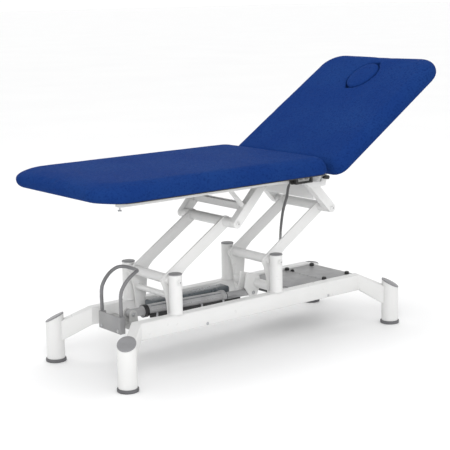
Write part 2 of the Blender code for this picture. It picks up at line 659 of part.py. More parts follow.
def release_lever(top):
    """A small black paddle on the near hinge lug, which unlocks the gas spring."""
    x, z, reach = BASE_X + 0.3400, 0.6335, 0.0150
    pivot = axis_empty("release_axis", (x, -HINGE_LUG_Y[1], z), top)
    outline = [*arc((x, z), 0.0080, 90, -90, 8), *arc((x - reach, z), 0.0050, -90, -270, 6)]
    lever = profile("recline_release_lever", outline, -0.1990, -HINGE_LUG_Y[1] - 0.0030)
    join(lever, cylinder("hub", (x, -0.1900, z), (x, -HINGE_LUG_Y[1] - GAP, z), 0.0060, 16))
    finish(lever, BLACK, pivot)


# ---------------------------------------------------------------- handset
CRADLE_X = (BASE_X + 0.155, BASE_X + 0.243)
CORD_ROUTE = [(0.1450, -0.1970, 0.6320), (0.1360, -0.1965, 0.6240), (0.1365, -0.1900, 0.6080),
              (0.1430, -0.1780, 0.5800), (0.1560, -0.1500, 0.5450), (0.1720, -0.1200, 0.5050),
              (0.1850, -0.0970, 0.4600), (0.1885, -0.0880, 0.4250), (0.1895, -0.0835, 0.3900),
              (0.1830, -0.0785, 0.3560), (0.1660, -0.0760, 0.3369), (0.1459, -0.0760, 0.3333)]
GLAND = ((0.1284, -0.0760, 0.3302), (0.1454, -0.0760, 0.3332))
CORD_R = 0.0055


def handset(top, arms):
    """Black cradle under the near rail, a grey handset in it with two sprung buttons."""
    x0, x1 = CRADLE_X
    y = (-0.2165, -SEAT_RAIL_Y1 - GAP)
    z0, z1 = 0.6260, 0.6600
    cradle = box("handset_cradle", (x0, x1), y, (z0, z1), 0.002, 1)
    cut(cradle, box("space", (x0 + 0.0120, x1 - 0.0120), (-0.3, -0.1860), (z0 + 0.0070, 0.70)),
        box("lug_space", (BASE_X + 0.2140, 0.3), (-HINGE_LUG_Y[1] - GAP, 0), (0.6, 0.70)))
    finish(cradle, BLACK, top)
    body = box("handset", (x0 + 0.0125, x1 - 0.0125), (-0.2110, -0.1863), (z0 + 0.0073, 0.6630),
               0.003, 2)
    centres = (x0 + 0.030, x1 - 0.030)
    for cx in centres:
        cut(body, box("well", (cx - 0.0083, cx + 0.0083), (-0.3, -0.2030), (0.6405, 0.6555)))
    finish(body, HANDSET, top)
    for name, cx in zip(("handset_button_down", "handset_button_up"), centres):
        travel = axis_empty(name + "_axis", (cx, -0.2080, 0.6480), top)
        finish(box(name, (cx - 0.0078, cx + 0.0078), (-0.2135, -0.2060), (0.6410, 0.6550), 0.001, 1),
               CAP_GREY, travel)
    route = [(BASE_X + px, py, pz) for px, py, pz in CORD_ROUTE]
    finish(tube_curve("curly_cord", route, CORD_R, 4), DARK, top)
    gland = cylinder("cord_gland", *[(BASE_X + px, py, pz) for px, py, pz in GLAND], 0.0072, 16)
    pivot_tube = cylinder("tube", (POST_X["head"], -0.1, PIVOT_Z), (POST_X["head"], 0, PIVOT_Z),
                          LOWER_TUBE_R + GAP, 20)
    finish(cut(gland, pivot_tube), BLACK, arms)


# ---------------------------------------------------------------- assembly
for side, sign in SIDES.items():
    rail(side, sign)
    for end_name, end in ENDS.items():
        leg(side, sign, end_name, end)
        post(side, sign, end_name)
cross_tubes()
foot_end()
lower_shafts()
control_box()
actuator()
arm_axes = {end_name: arm_frame(end_name) for end_name in ENDS}

top_axis = axis_empty("top_axis", (POST_X["foot"] + UPPER_DX, 0, UPPER_Z))
lug_place = seat_frame(top_axis)
for end_name in ENDS:
    bracket_frame(end_name, top_axis)
board_and_pad("seat", (SEAT_X0, SEAT_X1), FRAME_Z1 + GAP, SEAT_T, {-1: 0.100, 1: 0.055}, top_axis)
backrest(top_axis)
gas_spring(top_axis, *lug_place)
release_lever(top_axis)
handset(top_axis, arm_axes["head"])
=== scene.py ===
"""Looks of the medical exam table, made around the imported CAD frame.

The frame gives every place and size. This file adds the camera, the light, the surfaces
and the fine shapes. Metres; +X towards the head end, +Y to the far side, +Z up.
"""
import json
from math import cos, pi, radians, sin

import bmesh
import bpy
import numpy as np
from mathutils import Matrix, Vector


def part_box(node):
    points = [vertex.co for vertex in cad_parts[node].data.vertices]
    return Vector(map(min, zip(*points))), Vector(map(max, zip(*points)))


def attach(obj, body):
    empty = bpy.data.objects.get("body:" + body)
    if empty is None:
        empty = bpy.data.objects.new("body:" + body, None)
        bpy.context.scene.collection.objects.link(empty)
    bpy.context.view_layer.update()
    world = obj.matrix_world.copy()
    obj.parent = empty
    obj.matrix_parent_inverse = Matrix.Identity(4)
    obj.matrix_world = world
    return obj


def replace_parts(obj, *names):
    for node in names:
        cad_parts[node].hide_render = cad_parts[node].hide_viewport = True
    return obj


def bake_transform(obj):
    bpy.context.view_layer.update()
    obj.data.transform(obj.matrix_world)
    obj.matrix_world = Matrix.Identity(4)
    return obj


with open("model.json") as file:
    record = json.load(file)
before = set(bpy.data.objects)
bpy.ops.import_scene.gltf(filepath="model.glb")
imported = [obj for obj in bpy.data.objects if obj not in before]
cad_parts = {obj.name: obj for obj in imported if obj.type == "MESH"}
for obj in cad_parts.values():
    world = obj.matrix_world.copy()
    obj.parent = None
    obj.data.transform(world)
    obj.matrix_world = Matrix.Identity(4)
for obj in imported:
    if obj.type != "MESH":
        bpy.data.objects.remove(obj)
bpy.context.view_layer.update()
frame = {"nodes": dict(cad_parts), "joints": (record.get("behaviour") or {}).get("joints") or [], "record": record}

NODES = frame["nodes"]
JOINTS = {joint["name"]: joint for joint in frame["joints"]}
BODY_OF = {n: body for body, names in frame["record"]["behaviour"]["bodies"].items() for n in names}
GAP = 0.0003                 # between touching pieces
CAP_T = 0.004                # thickness of the legs' caps
SEAT_RAIL_Z0 = 0.6290        # underside of the two seat rails
SEAT_RAIL_Y = 0.1600         # their middle, from the centre line
RAIL_FACE_Y = 0.1700         # outer face of the base rails
ARM_FACE_Y = 0.0986          # inner face of the arms' plates
LOWER_TUBE_R, UPPER_TUBE_R = 0.0180, 0.0190
PIN_SEAT = {"lower": 0.1738, "upper": 0.1750}    # bolt heads of the shafts, from the centre line


def middle(node):
    low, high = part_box(node)
    return (low + high) / 2


BASE_X = (middle("foot_pad_near_foot").x + middle("foot_pad_near_head").x) / 2
HINGE = Vector(JOINTS["recline"]["pos_m"])
LIFT = Vector(JOINTS["lift"]["pos_m"])
ARMS_FOOT = Vector(JOINTS["arms_foot_turn"]["pos_m"])
UPPER_HEAD = Vector(JOINTS["top_level"]["pos_m"])
RECLINE = radians(33)
REAR_PIN = Vector((BASE_X - 0.472, 0, 0.196))                  # the actuator's two pins
LEVER_PIN = Vector((LIFT.x - 0.010, 0, LIFT.z - 0.146))
ALONG = (LEVER_PIN - REAR_PIN).normalized()                    # its own direction, and upwards
ABOVE = Vector((-ALONG.z, 0, ALONG.x))
SIDES = {"near": -1, "far": 1}
ENDS = {"foot": -1, "head": 1}


# ---------------------------------------------------------------- camera, light, floor
def make_camera():
    """A long lens, seen from the foot end's near corner, a little above the pads."""
    eye = Vector((BASE_X - 2.880, -3.552, 1.355))
    yaw, pitch, roll = radians(51.15), radians(-11.04), radians(-0.96)
    ahead = Vector((cos(pitch) * cos(yaw), cos(pitch) * sin(yaw), sin(pitch)))
    right = ahead.cross(Vector((0, 0, 1))).normalized()
    up = right.cross(ahead)
    across = right * cos(roll) + up * sin(roll)
    upright = up * cos(roll) - right * sin(roll)
    data = bpy.data.cameras.new("camera")
    data.lens = 96.45
    data.sensor_width = 36.0
    data.clip_end = 300.0
    cam = bpy.data.objects.new("camera", data)
    bpy.context.scene.collection.objects.link(cam)
    cam.matrix_world = (Matrix.Translation(eye)
                        @ Matrix((across, upright, -ahead)).transposed().to_4x4())
    bpy.context.scene.camera = cam


def area_light(name, place, size, power):
    """A round white lamp that looks at the table."""
    data = bpy.data.lights.new(name, "AREA")
    data.shape = "DISK"
    data.size = size
    data.energy = power
    lamp = bpy.data.objects.new(name, data)
    bpy.context.scene.collection.objects.link(lamp)
    lamp.location = place
    lamp.rotation_mode = "QUATERNION"
    lamp.rotation_quaternion = (Vector((0, 0, 0.4)) - Vector(place)).to_track_quat("-Z", "Y")


def make_stage():
    """An even white world, two soft lamps and a wide pale floor."""
    world = bpy.data.worlds.new("studio")
    world.use_nodes = True
    sky = world.node_tree.nodes["Background"]
    sky.inputs["Color"].default_value = (1.0, 1.0, 1.0, 1.0)
    sky.inputs["Strength"].default_value = 1.06
    bpy.context.scene.world = world
    bpy.context.scene.view_settings.view_transform = "Standard"
    area_light("key", (-2.6, -3.2, 2.6), 2.2, 62)
    area_light("top", (0.3, 0.6, 4.6), 3.5, 40)
    bpy.ops.mesh.primitive_plane_add(size=160.0)
    floor = bpy.context.object
    floor.name = "floor"
    floor.data.materials.append(FLOOR)


# ---------------------------------------------------------------- materials
class Surface:
    """A Principled material, with helpers that wire procedural detail into it."""

    def __init__(self, name, colour, roughness, metallic=0.0, **sockets):
        self.mat = bpy.data.materials.new(name)
        self.mat.use_nodes = True
        self.tree = self.mat.node_tree
        self.shader = self.tree.nodes["Principled BSDF"]
        self.colour = colour
        self.shader.inputs["Base Color"].default_value = (*colour, 1.0)
        self.shader.inputs["Roughness"].default_value = roughness
        self.shader.inputs["Metallic"].default_value = metallic
        for socket, value in sockets.items():
            self.shader.inputs[socket.replace("_", " ")].default_value = value
        self.place = self.add("ShaderNodeTexCoord").outputs["Object"]
        self.bump = None

    def add(self, kind, **settings):
        node = self.tree.nodes.new(kind)
        for key, value in settings.items():
            setattr(node, key, value)
        return node

    def link(self, a, b):
        self.tree.links.new(a, b)

    def noise(self, scale, detail=3.0, rough=0.5, stretch=None):
        """Cloudy values from 0 to 1; stretch scales the pattern along each axis."""
        node = self.add("ShaderNodeTexNoise")
        node.inputs["Scale"].default_value = scale
        node.inputs["Detail"].default_value = detail
        node.inputs["Roughness"].default_value = rough
        place = self.place
        if stretch:
            mapping = self.add("ShaderNodeMapping")
            mapping.inputs["Scale"].default_value = stretch
            self.link(place, mapping.inputs["Vector"])
            place = mapping.outputs["Vector"]
        self.link(place, node.inputs["Vector"])
        return node.outputs["Fac"]

    def cells(self, scale):
        """Distance to the edges of a pattern of cells."""
        node = self.add("ShaderNodeTexVoronoi", feature="DISTANCE_TO_EDGE")
        node.inputs["Scale"].default_value = scale
        self.link(self.place, node.inputs["Vector"])
        return node.outputs["Distance"]

    def remap(self, source, low, high, to_low=0.0, to_high=1.0):
        node = self.add("ShaderNodeMapRange")
        for socket, value in zip(("From Min", "From Max", "To Min", "To Max"),
                                 (low, high, to_low, to_high)):
            node.inputs[socket].default_value = value
        self.link(source, node.inputs["Value"])
        return node.outputs["Result"]

    def vary_colour(self, source, other, low=0.35, high=0.65):
        """Blend the surface towards another colour where the source is high."""
        mix = self.add("ShaderNodeMix", data_type="RGBA")
        self.link(self.remap(source, low, high), mix.inputs["Factor"])
        start = self.shader.inputs["Base Color"]
        if start.is_linked:
            self.link(start.links[0].from_socket, mix.inputs[6])
        else:
            mix.inputs[6].default_value = (*self.colour, 1.0)
        mix.inputs[7].default_value = (*other, 1.0)
        self.link(mix.outputs[2], start)
        return self

    def vary_roughness(self, source, low, high):
        self.link(self.remap(source, 0.3, 0.7, low, high), self.shader.inputs["Roughness"])
        return self

    def relief(self, source, depth, strength=1.0):
        """Add a bump whose height is depth metres from dark to light."""
        node = self.add("ShaderNodeBump")
        node.inputs["Strength"].default_value = strength
        node.inputs["Distance"].default_value = depth
        self.link(source, node.inputs["Height"])
        if self.bump:
            self.link(self.bump, node.inputs["Normal"])
        self.bump = node.outputs["Normal"]
        self.link(self.bump, self.shader.inputs["Normal"])
        return self


def powder_coat():
    s = Surface("white_paint", (0.70, 0.70, 0.695), 0.32, Specular_IOR_Level=0.45,
                Coat_Weight=0.15, Coat_Roughness=0.18)
    s.vary_colour(s.noise(3.0, 4.0), (0.66, 0.66, 0.65), 0.45, 0.75)
    s.vary_roughness(s.noise(38.0, 3.0), 0.27, 0.40)
    return s.relief(s.noise(900.0, 2.0), 0.00006).mat


def moulded(name, colour, roughness, grain=1500.0, depth=0.00008):
    s = Surface(name, colour, roughness)
    lighter = tuple(min(1.0, c * 1.25 + 0.004) for c in colour)
    s.vary_colour(s.noise(14.0, 5.0), lighter)
    s.vary_roughness(s.noise(60.0), roughness - 0.06, roughness + 0.08)
    return s.relief(s.noise(grain, 2.0), depth).mat


def grey_plate():
    s = Surface("plate_grey", (0.255, 0.255, 0.26), 0.42, 0.25)
    s.vary_colour(s.noise(6.0, 5.0), (0.30, 0.30, 0.30))
    s.vary_roughness(s.noise(25.0, 4.0), 0.36, 0.52)
    return s.relief(s.noise(1100.0, 2.0), 0.00005).mat


def zinc():
    s = Surface("zinc_steel", (0.56, 0.56, 0.57), 0.3, 1.0)
    s.vary_colour(s.noise(30.0, 5.0), (0.44, 0.45, 0.47))
    s.vary_roughness(s.noise(400.0, 3.0, 0.5, (1.0, 0.05, 1.0)), 0.22, 0.42)
    return s.relief(s.noise(700.0, 2.0, 0.5, (1.0, 0.04, 1.0)), 0.00004).mat


def vinyl():
    s = Surface("blue_vinyl", (0.0085, 0.0335, 0.157), 0.52, Specular_IOR_Level=0.010,
                Specular_Tint=(0.14, 0.30, 0.85, 1.0))
    s.vary_colour(s.noise(5.0, 3.0), (0.0105, 0.039, 0.165), 0.40, 0.62)
    s.vary_colour(s.noise(130.0, 3.0), (0.0050, 0.022, 0.112), 0.48, 0.76)
    s.vary_roughness(s.noise(90.0, 4.0), 0.56, 0.72)
    pores = s.remap(s.cells(520.0), 0.0, 0.16)
    s.relief(pores, 0.00022, 0.8)
    s.relief(s.noise(240.0, 4.0), 0.00018, 0.6)
    return s.relief(s.noise(11.0, 2.0), 0.0016, 0.5).mat


def backing_cloth():
    s = Surface("board_black", (0.022, 0.021, 0.020), 0.9, Sheen_Weight=0.2)
    threads = s.add("ShaderNodeTexWave", wave_type="BANDS", bands_direction="X")
    threads.inputs["Scale"].default_value = 160.0
    crossing = s.add("ShaderNodeTexWave", wave_type="BANDS", bands_direction="Y")
    crossing.inputs["Scale"].default_value = 160.0
    weave = s.add("ShaderNodeMath", operation="MULTIPLY")
    for index, wave in enumerate((threads, crossing)):
        s.link(s.place, wave.inputs["Vector"])
        s.link(wave.outputs["Fac"], weave.inputs[index])
    s.vary_colour(weave.outputs[0], (0.045, 0.043, 0.041), 0.2, 0.9)
    return s.relief(weave.outputs[0], 0.0003).mat


def cable_sheath():
    s = Surface("cord_black", (0.115, 0.115, 0.118), 0.36)
    s.vary_colour(s.noise(40.0), (0.155, 0.155, 0.157))
    s.vary_roughness(s.noise(300.0), 0.36, 0.5)
    return s.relief(s.noise(1500.0, 2.0), 0.00004).mat


def pale_floor():
    s = Surface("floor", (0.93, 0.93, 0.93), 0.60, Specular_IOR_Level=0.3)
    s.vary_colour(s.noise(0.8, 3.0), (0.915, 0.915, 0.917))
    return s.mat


WHITE = powder_coat()
CAP_GREY = moulded("cap_grey", (0.215, 0.215, 0.222), 0.48)
RUBBER = moulded("rubber_grey", (0.105, 0.105, 0.11), 0.72, 900.0, 0.00012)
BLACK = moulded("black_plastic", (0.012, 0.012, 0.0125), 0.40)
DARK = moulded("actuator_grey", (0.30, 0.30, 0.305), 0.36)
MOTOR = moulded("motor_slate", (0.075, 0.088, 0.098), 0.30)
HANDSET = moulded("handset_grey", (0.46, 0.46, 0.45), 0.45)
BUTTON = moulded("button_grey", (0.16, 0.16, 0.165), 0.45)
PLATE = grey_plate()
STEEL = zinc()
VINYL = vinyl()
BACKING = backing_cloth()
CORD = cable_sheath()
FLOOR = pale_floor()
SLOT_LOOK = {"white_paint": WHITE, "cap_grey": CAP_GREY, "rubber_grey": RUBBER, "plate_grey": PLATE,
             "zinc_steel": STEEL, "actuator_grey": DARK, "black_plastic": BLACK,
             "board_black": BACKING, "blue_vinyl": VINYL, "handset_grey": HANDSET,
             "button_grey": BUTTON, "cord_black": CORD}
OWN_LOOK = {"actuator_motor": MOTOR,
            "foot_guard_bar": moulded("bar_grey", (0.150, 0.150, 0.155), 0.36),
            "base_cross_foot": moulded("fitting_grey", (0.38, 0.38, 0.375), 0.40),
            "control_box": moulded("box_dark", (0.040, 0.041, 0.043), 0.50)}
NODE_SLOT = {s["node"]: s["material_slot"] for s in frame["record"]["subparts"]}


# ---------------------------------------------------------------- mesh helpers
def piece_from(name, bm, mat, body, sharp=35.0):
    """Finish a bmesh as a smooth-shaded piece that rides on a body, if one is given."""
    mesh = bpy.data.meshes.new(name)
    bm.to_mesh(mesh)
    bm.free()
    mesh.materials.append(mat)
    mesh.shade_smooth()
    mesh.set_sharp_from_angle(angle=radians(sharp))
    obj = bpy.data.objects.new(name, mesh)
    bpy.context.scene.collection.objects.link(obj)
    if body:
        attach(obj, body)
    return obj


def soften(bm, width, segments=2, angle=30.0):
    """Round every edge that is sharper than the angle."""
    edges = [e for e in bm.edges if len(e.link_faces) == 2
             and e.calc_face_angle(0.0) > radians(angle)]
    bmesh.ops.bevel(bm, geom=edges, offset=width, segments=segments, profile=0.6,
                    affect="EDGES", clamp_overlap=False)
    return bm


def refined(node, width=0.0010, look=None):
    """The CAD shape again, with its flat faces whole and its edges rounded."""
    bm = bmesh.new()
    bm.from_mesh(NODES[node].data)
    bmesh.ops.remove_doubles(bm, verts=bm.verts, dist=2e-5)
    bmesh.ops.dissolve_limit(bm, angle_limit=radians(0.6), verts=bm.verts, edges=bm.edges)
    soften(bm, width)
    slot = NODE_SLOT[node]
    piece = piece_from("fine_" + node, bm, look or SLOT_LOOK[slot], BODY_OF[node])
    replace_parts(piece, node)
    return piece


def frame_along(direction):
    """Rotation that takes +Z to the direction."""
    return Vector(direction).to_track_quat("Z", "Y").to_matrix().to_4x4()


def turned(bm, outline, place, direction, sides=32):
    """Add a solid of revolution: outline is (radius, height) pairs from bottom to top."""
    place_it = Matrix.Translation(Vector(place)) @ frame_along(direction)
    rings = []
    for radius, height in outline:
        if radius < 1e-6:
            rings.append([bm.verts.new(place_it @ Vector((0, 0, height)))])
            continue
        rings.append([bm.verts.new(place_it @ Vector((radius * cos(2 * pi * i / sides),
                                                      radius * sin(2 * pi * i / sides), height)))
                      for i in range(sides)])
    for a, b in zip(rings, rings[1:]):
        for i in range(sides):
            j = (i + 1) % sides
            if len(a) == 1:
                bm.faces.new((a[0], b[i], b[j]))
            elif len(b) == 1:
                bm.faces.new((a[i], a[j], b[0]))
            else:
                bm.faces.new((a[i], a[j], b[j], b[i]))
    for ring in (rings[0], rings[-1]):
        if len(ring) > 1:
            bm.faces.new(ring)
    return bm


def skin(bm, rings):
    """Join rings with the same number of points into one surface, closed at both ends."""
    for a, b in zip(rings, rings[1:]):
        for i in range(len(a)):
            j = (i + 1) % len(a)
            bm.faces.new((a[i], a[j], b[j], b[i]))
    bm.faces.new(rings[0][::-1])
    bm.faces.new(rings[-1])
    return bm


def sweep(bm, path, radius, sides):
    """Add a round bar along a list of points."""
    points = [Vector(p) for p in path]
    count = len(points)
    tangents = [(points[min(i + 1, count - 1)] - points[max(i - 1, 0)]).normalized()
                for i in range(count)]
    normal = tangents[0].orthogonal().normalized()
    rings = []
    for point, tangent in zip(points, tangents):
        normal = (normal - tangent * normal.dot(tangent)).normalized()
        side = tangent.cross(normal)
        rings.append([bm.verts.new(point + (normal * cos(2 * pi * k / sides)
                                            + side * sin(2 * pi * k / sides)) * radius)
                      for k in range(sides)])
    return skin(bm, rings)


def smooth_route(points, steps):
    """Catmull-Rom points through the given ones."""
    points = [Vector(p) for p in points]
    ends = [points[0] * 2 - points[1], *points, points[-1] * 2 - points[-2]]
    route = []
    for a, b, c, d in zip(ends, ends[1:], ends[2:], ends[3:]):
        for i in range(steps):
            t = i / steps
            route.append(0.5 * ((2 * b) + (c - a) * t + (2 * a - 5 * b + 4 * c - d) * t * t
                                + (3 * b - a - 3 * c + d) * t ** 3))
    return route + [points[-1].copy()]


# ---------------------------------------------------------------- turned and slanted parts
def slanted_face(node):
    """Centre and normal of the node's largest face that looks up."""
    faces = [f for f in NODES[node].data.polygons if f.normal.z > 0.5]
    total = sum((f.normal * f.area for f in faces), Vector())
    normal = total.normalized()
    flat = [f for f in faces if f.normal.dot(normal) > 0.99]
    area = sum(f.area for f in flat)
    return sum((f.center * f.area for f in flat), Vector()) / area, normal


def trim(bm, place, normal):
    """Cut the mesh by a plane, drop what lies above it, and close the cut."""
    geom = bm.verts[:] + bm.edges[:] + bm.faces[:]
    bmesh.ops.bisect_plane(bm, geom=geom, plane_co=place, plane_no=normal, clear_outer=True)
    bmesh.ops.holes_fill(bm, edges=[e for e in bm.edges if e.is_boundary])
    return bm


def make_leg(name):
    """Tube with a slanted top, its cap, and its rubber foot."""
    low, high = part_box("leg_" + name)
    x, y, r = (low.x + high.x) / 2, (low.y + high.y) / 2, (high.y - low.y) / 2
    place, normal = slanted_face("leg_cap_" + name)
    under = place - normal * (CAP_T + GAP)
    tube = turned(bmesh.new(), [(0.0, 0.0), (r - 0.0012, 0.0), (r, 0.0012), (r, 0.3)],
                  (x, y, low.z), (0, 0, 1), 72)
    trim(tube, under, normal)
    soften(tube, 0.0006, 2, 40)
    body = BODY_OF["leg_" + name]
    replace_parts(piece_from("fine_leg_" + name, tube, WHITE, body), "leg_" + name)
    cap = turned(bmesh.new(), [(r - 0.0002, 0.0), (r - 0.0002, 0.3)], (x, y, low.z), (0, 0, 1), 72)
    trim(cap, place, normal)
    trim(cap, under + normal * GAP, -normal)
    soften(cap, 0.0014, 4, 40)
    cap = piece_from("fine_leg_cap_" + name, cap, CAP_GREY, body)
    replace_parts(cap, "leg_cap_" + name)
    node = "foot_pad_" + name
    low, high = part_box(node)
    r, tall = (high.x - low.x) / 2, high.z - low.z
    pad = turned(bmesh.new(), [(0.0, 0.0), (r - 0.0020, 0.0), (r - 0.0006, 0.0010), (r, 0.0030),
                               (r, tall - 0.0022), (r - 0.0010, tall - 0.0006),
                               (r - 0.0026, tall), (0.0, tall)], (x, y, low.z), (0, 0, 1), 72)
    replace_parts(piece_from("fine_" + node, pad, RUBBER, body), node)


def make_post(name):
    """Tube with a weld round its foot, and its cap."""
    low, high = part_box("post_" + name)
    x, y, r = (low.x + high.x) / 2, (low.y + high.y) / 2, (high.x - low.x) / 2
    tall = high.z - low.z
    body = BODY_OF["post_" + name]
    outline = [(0.0, 0.0), (r + 0.0030, 0.0), (r + 0.0026, 0.0012), (r + 0.0012, 0.0022),
               (r + 0.0003, 0.0036), (r, 0.0055), (r, tall - 0.0006), (r - 0.0006, tall), (0.0, tall)]
    post = turned(bmesh.new(), outline, (x, y, low.z), (0, 0, 1), 64)
    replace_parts(piece_from("fine_post_" + name, post, WHITE, body), "post_" + name)
    node = "post_cap_" + name
    low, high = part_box(node)
    r, tall = (high.x - low.x) / 2, high.z - low.z
    cap = turned(bmesh.new(), [(0.0, 0.0), (r - 0.0004, 0.0), (r, 0.0005), (r, tall - 0.0016),
                               (r - 0.0007, tall - 0.0005), (r - 0.0020, tall),
                               (r * 0.5, tall + 0.0005), (0.0, tall + 0.0006)],
                 (x, y, low.z), (0, 0, 1), 64)
    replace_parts(piece_from("fine_" + node, cap, CAP_GREY, body), node)


def screw(name, place, out, size, body, mat=None):
    """A washer and a domed head with a socket, looking along out; size is its radius."""
    outline = [(0.0, -0.0010), (1.30, -0.0010), (1.30, 0.16), (1.22, 0.20), (1.0, 0.20), (0.98, 0.42),
               (0.86, 0.62), (0.66, 0.74), (0.44, 0.78), (0.42, 0.74), (0.42, 0.40), (0.0, 0.40)]
    bm = turned(bmesh.new(), [(r * size, h * size) for r, h in outline], place, out, 32)
    return piece_from(name, bm, mat or STEEL, body)


def make_pin(node, seat):
    """A cross shaft with a bolt head at each end, resting at seat metres from the middle."""
    mid = middle(node)
    r = (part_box(node)[1].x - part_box(node)[0].x) / 2
    bm = turned(bmesh.new(), [(0.0, -seat), (r, -seat), (r, seat), (0.0, seat)], mid, (0, 1, 0), 32)
    shaft = piece_from("fine_" + node, bm, STEEL, BODY_OF[node])
    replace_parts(shaft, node)
    for side, sign in SIDES.items():
        out = Vector((0, sign, 0))
        place = mid + out * (seat - 0.0004)
        screw(f"{node}_bolt_{side}", place, out, 0.0082, BODY_OF[node], WHITE)
        # A dark grey disc fills each bolt head's socket: painted shade in the hollow, since the bolt itself is
        # white.
        socket = turned(bmesh.new(), [(0.0, 0.0), (0.0033, 0.0), (0.0033, 0.0024), (0.0028, 0.0026),
                                      (0.0, 0.0026)], place + out * 0.0030, out, 24)
        piece_from(f"{node}_socket_{side}", socket, DARK, BODY_OF[node])


def weld(name, place, out, radius, body):
    """A small fillet ring where a tube meets a plate."""
    outline = [(radius - 0.001, 0.0), (radius + 0.0034, 0.0), (radius + 0.0028, 0.0010),
               (radius + 0.0012, 0.0021), (radius + 0.0002, 0.0038), (radius - 0.001, 0.0040)]
    return piece_from(name, turned(bmesh.new(), outline, place, out, 40), WHITE, body)


RIVET_PITCH = 0.0245


def make_cover_plate():
    """Folded sheet over the control box, as packed: its edges are thin and stay sharp."""
    bm = bmesh.new()
    bm.from_mesh(NODES["head_cover_plate"].data)
    bmesh.ops.remove_doubles(bm, verts=bm.verts, dist=2e-5)
    piece = piece_from("fine_cover_plate", bm, PLATE, "base", 25.0)
    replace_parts(piece, "head_cover_plate")


def make_cover_fittings():
    """A row of rivets and a seam across the cover, two sockets, and the box's cable entry."""
    low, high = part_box("head_cover_plate")
    top = high.z
    for i in range(9):
        screw(f"cover_rivet_{i}", (BASE_X + 0.3905, RIVET_PITCH * (i - 4), top), (0, 0, 1), 0.0020,
              "base", DARK)
    seam_size = Matrix.Diagonal((0.0012, high.y - low.y - 0.006, 0.0010, 1))
    seam = bmesh.new()
    bmesh.ops.create_cube(seam, size=1.0,
                          matrix=Matrix.Translation((BASE_X + 0.3960, 0, top + 0.0003)) @ seam_size)
    soften(seam, 0.0003)
    piece_from("cover_seam", seam, DARK, "base")
    for name, x, y, r in (("socket_a", 0.404, 0.083, 0.0075), ("socket_b", 0.235, 0.030, 0.0070)):
        knob = turned(bmesh.new(), [(0.0, 0.0), (r + 0.0015, 0.0), (r + 0.0015, 0.0016), (r, 0.0022),
                                    (r, 0.0062), (r - 0.0010, 0.0074), (r * 0.55, 0.0074),
                                    (r * 0.5, 0.0050), (0.0, 0.0050)],
                      (BASE_X + x, y, top), (0, 0, 1), 32)
        piece_from("cover_" + name, knob, BLACK, "base")
    entry = turned(bmesh.new(), [(0.0, -0.001), (0.0095, -0.001), (0.0095, 0.0020), (0.0078, 0.0026),
                                 (0.0078, 0.0105), (0.0066, 0.0120), (0.0, 0.0120)],
                   (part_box("control_box")[0].x, 0.017, 0.1755), (-1, 0, 0), 32)
    piece_from("box_entry", entry, BLACK, "base")


def make_buffer(node):
    """A black dome on the cover."""
    low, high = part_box(node)
    r, tall = (high.x - low.x) / 2, high.z - low.z
    x, y = (low.x + high.x) / 2, (low.y + high.y) / 2
    bm = turned(bmesh.new(), [(0.0, 0.0), (r, 0.0), (r, tall * 0.55), (r * 0.96, tall * 0.72),
                              (r * 0.84, tall * 0.88), (r * 0.62, tall * 0.97), (0.0, tall)],
                (x, y, low.z), (0, 0, 1), 40)
    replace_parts(piece_from("fine_" + node, bm, BLACK, BODY_OF[node]), node)


def make_screws():
    """Two screws in each base rail, and two in the foot bracket."""
    for side, sign in SIDES.items():
        for i, x in enumerate((-0.246, 0.367)):
            place = (BASE_X + x, sign * RAIL_FACE_Y, 0.1505)
            screw(f"rail_screw_{side}_{i}", place, (0, sign, 0), 0.0046, "base")
    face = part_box("foot_housing")[0].x
    for i, y in enumerate((0.051, -0.054)):
        screw(f"bracket_screw_{i}", (face, y, 0.158), (-1, 0, 0), 0.0046, "base")


def make_welds():
    """A weld wherever an arm frame's cross tubes meet its plates."""
    for side, sign in SIDES.items():
        for end, pivot in (("foot", ARMS_FOOT), ("head", LIFT)):
            upper = pivot + UPPER_HEAD - LIFT
            for level, place, radius in (("low", pivot, LOWER_TUBE_R), ("high", upper, UPPER_TUBE_R)):
                at = Vector((place.x, sign * ARM_FACE_Y, place.z))
                weld(f"arm_weld_{side}_{end}_{level}", at, (0, -sign, 0), radius, "arms_" + end)


def make_frame_stop():
    """A short threaded stop under the near seat rail's foot end."""
    stop = turned(bmesh.new(), [(0.0, -0.0142), (0.0066, -0.0138), (0.0072, -0.0128),
                                (0.0072, -0.0100), (0.0068, -0.0090), (0.0030, -0.0085),
                                (0.0030, 0.0), (0.0, 0.0)],
                  (BASE_X - 0.610, -SEAT_RAIL_Y, SEAT_RAIL_Z0), (0, 0, 1), 28)
    piece_from("frame_stop", stop, STEEL, "top")


# ---------------------------------------------------------------- actuator
ACTUATOR = "actuator_body"


def block(name, x, y, z, bevel, mat, body, place_it):
    """A box between the given pairs with rounded edges, put in its place by a matrix."""
    low, high = Vector((x[0], y[0], z[0])), Vector((x[1], y[1], z[1]))
    bm = bmesh.new()
    bmesh.ops.create_cube(bm, size=1.0, matrix=Matrix.Translation((low + high) / 2)
                          @ Matrix.Diagonal((*(high - low), 1)))
    soften(bm, bevel, 3)
    bmesh.ops.transform(bm, matrix=place_it, verts=bm.verts)
    return piece_from(name, bm, mat, body)


def make_collars():
    for name, start, length, r, mat, slot in (
            ("rear", 0.053, 0.020, 0.0238, BLACK, "black_plastic"),
            ("front", 0.424, 0.015, 0.0245, STEEL, "zinc_steel"),
            ("wiper", 0.4404, 0.008, 0.0170, BLACK, "black_plastic")):
        bm = turned(bmesh.new(), [(0.0, 0.0), (r - 0.0010, 0.0), (r, 0.0010), (r, length - 0.0010),
                                  (r - 0.0010, length), (0.0, length)],
                    REAR_PIN + ALONG * start, ALONG, 48)
        piece_from("actuator_collar_" + name, bm, mat, ACTUATOR)


